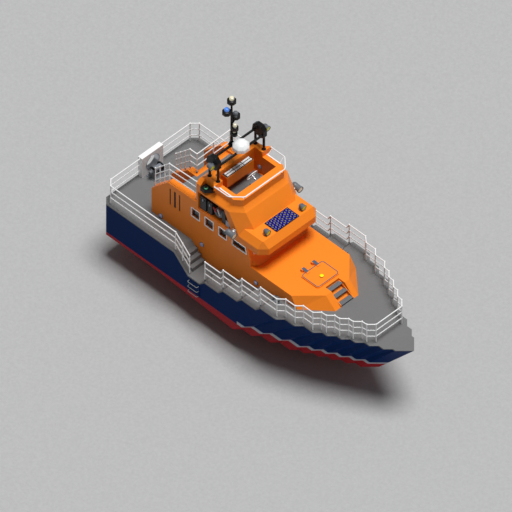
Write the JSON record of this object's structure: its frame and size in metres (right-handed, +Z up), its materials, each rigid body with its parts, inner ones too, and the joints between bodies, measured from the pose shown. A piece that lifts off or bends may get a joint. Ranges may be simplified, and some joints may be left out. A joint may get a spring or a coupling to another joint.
{
  "type": "all-weather lifeboat",
  "caption": "Decked motor lifeboat with an enclosed wheelhouse, an open upper helm, guard rails, and propellers and rudders under its stern.",
  "frame": {"origin": "amidships on the centreline, at the waterline", "axes": "+X forward to the bow, +Y to port, +Z up"},
  "size_m": [14.25, 5.2778, 9.86],
  "materials": {
    "antifouling": "matt red antifouling paint",
    "topside_paint": "glossy dark blue paint",
    "deck_paint": "grey non-slip deck paint",
    "engine_paint": "grey engine paint",
    "white_paint": "white gloss paint",
    "black_paint": "black satin paint",
    "superstructure_paint": "orange gloss paint",
    "grey_paint": "grey satin paint",
    "alloy": "satin",
    "bronze": "polished manganese bronze",
    "window_glass": "dark tinted toughened glass",
    "solar_cells": "dark blue cells under glass",
    "white_plastic": "white gloss moulding",
    "black_plastic": "black textured moulding",
    "white_cushion": "white coated fabric",
    "black_leather": "black upholstery"
  },
  "bodies": {
    "hull": {"hull_bottom": "antifouling", "hull_topsides": "topside_paint", "deck": "deck_paint", "engines": "engine_paint", "tow_frame": "white_paint", "winch_frame": "grey_paint", "cabin_base": "superstructure_paint", "cabin_aft_wall": "superstructure_paint", "cabin_front_wall": "superstructure_paint", "cabin_side_port": "superstructure_paint", "cabin_side_starboard": "superstructure_paint", "upper_deck": "deck_paint", "aft_stairs": "deck_paint", "wheelhouse_roof": "superstructure_paint", "helm_floor": "deck_paint", "fore_trunk": "superstructure_paint", "fore_steps": "alloy", "windscreen": "window_glass", "solar_panel": "solar_cells", "mast_arch": "black_paint", "mast": "black_paint", "radar_dome": "white_plastic", "helm_rail": "white_paint", "helm_backrest": "white_cushion", "upper_console": "black_plastic", "lower_console": "black_plastic", "shaft_bracket_port": "antifouling", "shaft_bracket_starboard": "antifouling", "aft_rail_port": "white_paint", "aft_rail_starboard": "white_paint", "fore_rail_port": "white_paint", "fore_rail_starboard": "white_paint", "upper_rail_port": "white_paint", "upper_rail_starboard": "white_paint", "boarding_rungs_port": "white_paint", "boarding_rungs_starboard": "white_paint", "side_glass_port": "window_glass", "side_glass_starboard": "window_glass", "locker_gear_port": "black_plastic", "locker_gear_starboard": "black_plastic", "brow_floodlight_port": "grey_paint", "brow_floodlight_starboard": "grey_paint", "arch_floodlight_port": "grey_paint", "arch_floodlight_starboard": "grey_paint", "searchlight_port": "grey_paint", "searchlight_starboard": "grey_paint", "sidelight_port": "black_paint", "sidelight_starboard": "black_paint", "seat_port": "black_leather", "seat_starboard": "black_leather"},
    "propeller_port": {"propeller_port": "bronze"},
    "propeller_starboard": {"propeller_starboard": "bronze"},
    "rudder_port": {"rudder_port": "antifouling"},
    "rudder_starboard": {"rudder_starboard": "antifouling"},
    "fore_hatch": {"fore_hatch": "superstructure_paint"},
    "aft_door": {"aft_door": "superstructure_paint"},
    "upper_wheel": {"upper_wheel": "alloy"},
    "lower_wheel": {"lower_wheel": "alloy"},
    "winch_drum": {"winch_drum": "black_paint"}
  },
  "joints": [
    {"name": "propeller_port_spin", "type": "hinge", "parent": "hull", "child": "propeller_port", "pos_m": [-6.35, 1.25, -0.8125], "axis": [0.9919, 0, 0.1266], "continuous": true},
    {"name": "propeller_starboard_spin", "type": "hinge", "parent": "hull", "child": "propeller_starboard", "pos_m": [-6.35, -1.25, -0.8125], "axis": [0.9919, 0, 0.1266], "continuous": true},
    {"name": "rudder_starboard_turn", "type": "hinge", "parent": "hull", "child": "rudder_starboard", "pos_m": [-6.7875, -1.25, -0.625], "axis": [0, 0, 1], "range_deg": [-35, 35]},
    {"name": "rudder_port_turn", "type": "hinge", "parent": "hull", "child": "rudder_port", "pos_m": [-6.7875, 1.25, -0.625], "axis": [0, 0, 1], "range_deg": [-35, 35]},
    {"name": "fore_hatch_lid", "type": "hinge", "parent": "hull", "child": "fore_hatch", "pos_m": [1.4625, 0, 2.45], "axis": [0, -1, 0], "range_deg": [0, 90]},
    {"name": "aft_door_swing", "type": "hinge", "parent": "hull", "child": "aft_door", "pos_m": [-4.055, 0.9875, 2.625], "axis": [0, 0, -1], "range_deg": [0, 95]},
    {"name": "upper_wheel_spin", "type": "hinge", "parent": "hull", "child": "upper_wheel", "pos_m": [-1.6375, 0.15, 4.8875], "axis": [-0.9063, 0, 0.4226], "continuous": true},
    {"name": "lower_wheel_spin", "type": "hinge", "parent": "hull", "child": "lower_wheel", "pos_m": [-0.8, -0.65, 2.525], "axis": [-0.9063, 0, 0.4226], "continuous": true},
    {"name": "winch_spin", "type": "hinge", "parent": "hull", "child": "winch_drum", "pos_m": [-6.6, -0.05, 2], "axis": [0, 1, 0], "continuous": true}
  ],
  "couplings": [
    {"joint": "rudder_port_turn", "follows": "rudder_starboard_turn", "ratio": 1}
  ]
}
